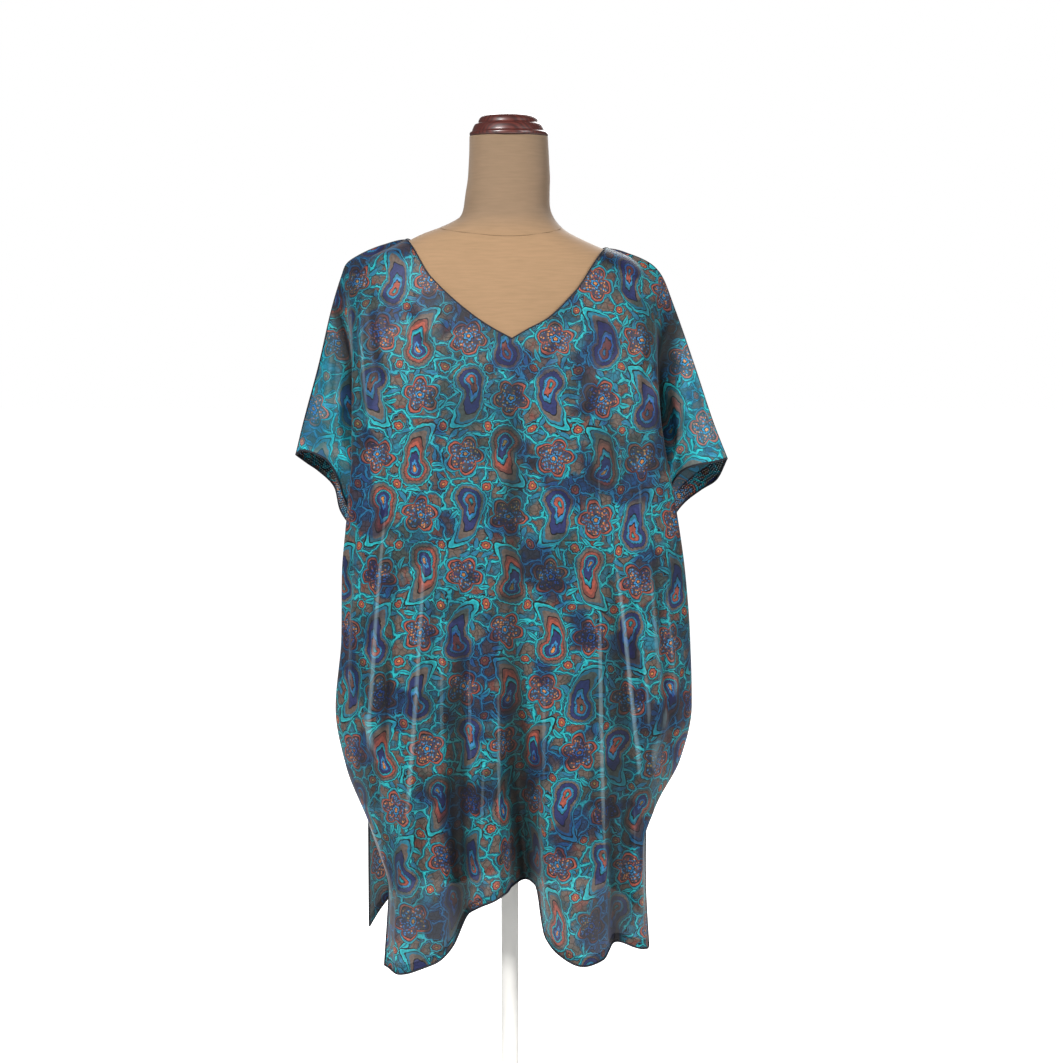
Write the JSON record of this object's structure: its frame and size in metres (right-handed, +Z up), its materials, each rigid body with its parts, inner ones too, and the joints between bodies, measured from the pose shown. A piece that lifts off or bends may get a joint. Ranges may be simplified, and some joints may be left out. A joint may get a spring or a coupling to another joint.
{
  "type": "kaftan on a dress form",
  "caption": "Sheer V-neck kaftan with cut-on half sleeves and side slits, hanging in soft folds on a limbless dress form with a turned neck cap, pole and round base.",
  "frame": {"origin": "Centre of the underside of the stand's round base, on the floor", "axes": "+Z up along the pole, -Y towards the front of the kaftan, +X to the right as the front is seen"},
  "size_m": [0.6019, 0.32, 1.4968],
  "materials": {
    "kaftan_chiffon": "printed chiffon, sheer",
    "form_linen": "linen jersey",
    "cap_wood": "turned and lacquered",
    "stand_paint": "satin paint"
  },
  "bodies": {
    "root": {"front_panel": "kaftan_chiffon", "back_panel": "kaftan_chiffon", "form_torso": "form_linen", "neck_cap": "cap_wood", "stand_pole": "stand_paint", "stand_base": "stand_paint"}
  },
  "joints": []
}
